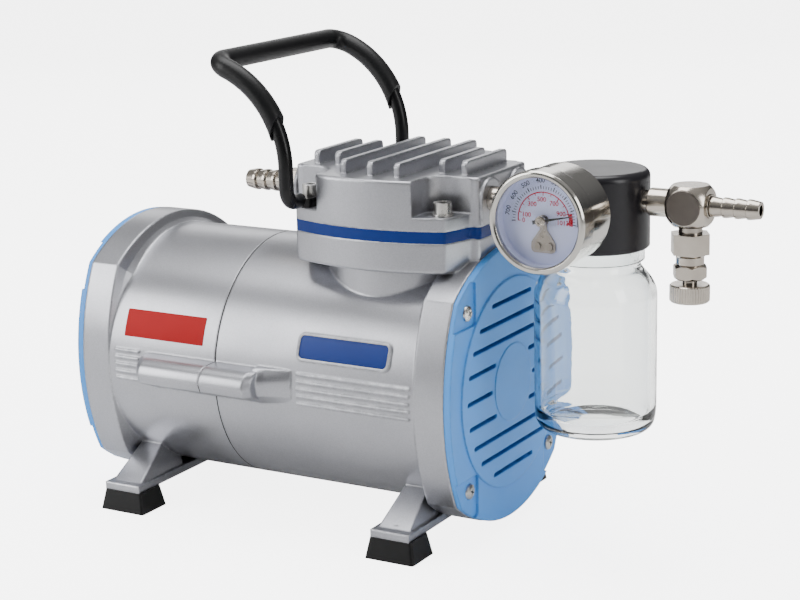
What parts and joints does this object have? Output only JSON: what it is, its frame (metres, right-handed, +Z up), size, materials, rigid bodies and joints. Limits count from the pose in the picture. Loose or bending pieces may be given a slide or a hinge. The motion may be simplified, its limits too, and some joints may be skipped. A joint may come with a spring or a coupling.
{
  "type": "vacuum pump",
  "caption": "Oil-free piston vacuum pump in a round cast casing on rubber feet, with carrying handle, glass moisture trap, dial gauge, inlet tee and bleed regulator.",
  "frame": {"origin": "middle of the base of the whole object's box, on the floor under the feet", "axes": "+X along the motor shaft toward the trap and the inlet hose tail, -Y toward the side with the gauge, +Z up"},
  "size_m": [0.3493, 0.153, 0.2335],
  "materials": {
    "silver_paint": "silver metallic paint on cast aluminium",
    "light_blue": "light blue satin",
    "dark_blue": "dark blue anodised edge",
    "zinc_screw": "zinc plated",
    "black_rubber": "matt black rubber",
    "seal_rubber": "black seal",
    "black_seal": "black ring",
    "hard_aluminium": "hard anodised bore",
    "spring_steel": "thin spring steel",
    "nickel": "nickel plated brass",
    "dark_nickel": "darker nickel",
    "black_coat": "black coated rod",
    "grip_foam": "soft black sleeve",
    "black_plastic": "satin black",
    "clear_collar": "black ring",
    "jar_glass": "clear pressed glass",
    "polished_steel": "polished steel",
    "lens_glass": "clear flat window",
    "dial_white": "white dial",
    "bracket_steel": "plain steel",
    "pointer_black": "black",
    "movement_brass": "brass",
    "shaft_steel": "ground steel",
    "bearing_steel": "bearing steel",
    "cast_weight": "cast",
    "fan_plastic": "black fan",
    "lamination": "stacked steel sheet",
    "copper_winding": "enamelled copper",
    "cast_rod": "cast aluminium",
    "cup_polymer": "filled polymer cup",
    "capacitor_case": "white case",
    "pin_metal": "plated brass",
    "rocker_plastic": "black rocker"
  },
  "bodies": {
    "casing": {"rear_housing": "silver_paint", "front_housing": "silver_paint", "cylinder_head": "silver_paint", "front_cover": "light_blue", "rear_cover": "light_blue", "valve_plate": "dark_blue", "cover_screws": "zinc_screw", "feet": "black_rubber", "foot_screws": "zinc_screw", "cylinder_sleeve": "hard_aluminium", "intake_reed": "spring_steel", "exhaust_reed": "spring_steel", "reed_rivets": "spring_steel", "head_gasket": "seal_rubber", "head_screws": "zinc_screw", "head_washers": "zinc_screw", "port_plugs": "nickel", "exhaust_hose_tail": "nickel", "handle_rod": "black_coat", "handle_grip": "grip_foam", "trap_nipple": "nickel", "trap_cap": "black_plastic", "jar_seal": "seal_rubber", "gauge_stem": "nickel", "gauge_case": "polished_steel", "gauge_bezel": "polished_steel", "gauge_lens": "lens_glass", "lens_seal": "black_seal", "gauge_dial": "dial_white", "dial_bracket": "bracket_steel", "gauge_movement": "movement_brass", "pressure_tube": "movement_brass", "tee_nipple": "nickel", "tee_body": "nickel", "tee_plug": "dark_nickel", "inlet_hose_tail": "nickel", "regulator_body": "nickel", "lock_nut": "nickel", "main_bearings": "bearing_steel", "stator": "lamination", "windings": "copper_winding", "tie_bolts": "zinc_screw", "run_capacitor": "capacitor_case", "mains_inlet": "black_plastic", "inlet_pins": "pin_metal", "switch_frame": "black_plastic"},
    "crank": {"shaft": "shaft_steel", "eccentric": "cast_weight", "fan": "fan_plastic", "rotor": "lamination"},
    "rod": {"rod_bearing": "bearing_steel", "connecting_rod": "cast_rod", "piston_cup": "cup_polymer", "piston_clamp": "cast_rod"},
    "pointer": {"pointer": "pointer_black"},
    "regulator_stem": {"regulator_stem": "nickel"},
    "regulator_knob": {"regulator_knob": "nickel"},
    "jar_collar": {"jar_collar": "clear_collar"},
    "jar": {"glass_jar": "jar_glass"},
    "rocker": {"switch_rocker": "rocker_plastic"}
  },
  "joints": [
    {"name": "crank_spin", "type": "hinge", "parent": "casing", "child": "crank", "pos_m": [-0.0086, 0, 0.0733], "axis": [1, 0, 0], "continuous": true},
    {"name": "rod_swing", "type": "hinge", "parent": "crank", "child": "rod", "pos_m": [-0.0086, 0, 0.0765], "axis": [1, 0, 0], "continuous": true},
    {"name": "pointer_sweep", "type": "hinge", "parent": "casing", "child": "pointer", "pos_m": [0.096, -0.069, 0.1695], "axis": [0, -1, 0], "range_deg": [0, 200]},
    {"name": "valve_travel", "type": "slide", "parent": "casing", "child": "regulator_stem", "axis": [0, 0, -1], "range_m": [0, 0.0025]},
    {"name": "knob_turn", "type": "hinge", "parent": "regulator_stem", "child": "regulator_knob", "pos_m": [0.142, -0.0145, 0.13], "axis": [0, 0, -1], "range_deg": [0, 720]},
    {"name": "jar_travel", "type": "slide", "parent": "casing", "child": "jar_collar", "axis": [0, 0, -1], "range_m": [0, 0.008]},
    {"name": "jar_turn", "type": "hinge", "parent": "jar_collar", "child": "jar", "pos_m": [0.096, -0.0145, 0.15], "axis": [0, 0, -1], "range_deg": [0, 720]},
    {"name": "switch_rock", "type": "hinge", "parent": "casing", "child": "rocker", "pos_m": [-0.1681, 0, 0.0933], "axis": [0, -1, 0], "range_deg": [0, 16]}
  ],
  "couplings": [
    {"joint": "rod_swing", "follows": "crank_spin", "ratio": -1},
    {"joint": "valve_travel", "follows": "knob_turn", "m_per_rad": 0.00015915},
    {"joint": "jar_travel", "follows": "jar_turn", "m_per_rad": 0.0006366}
  ]
}
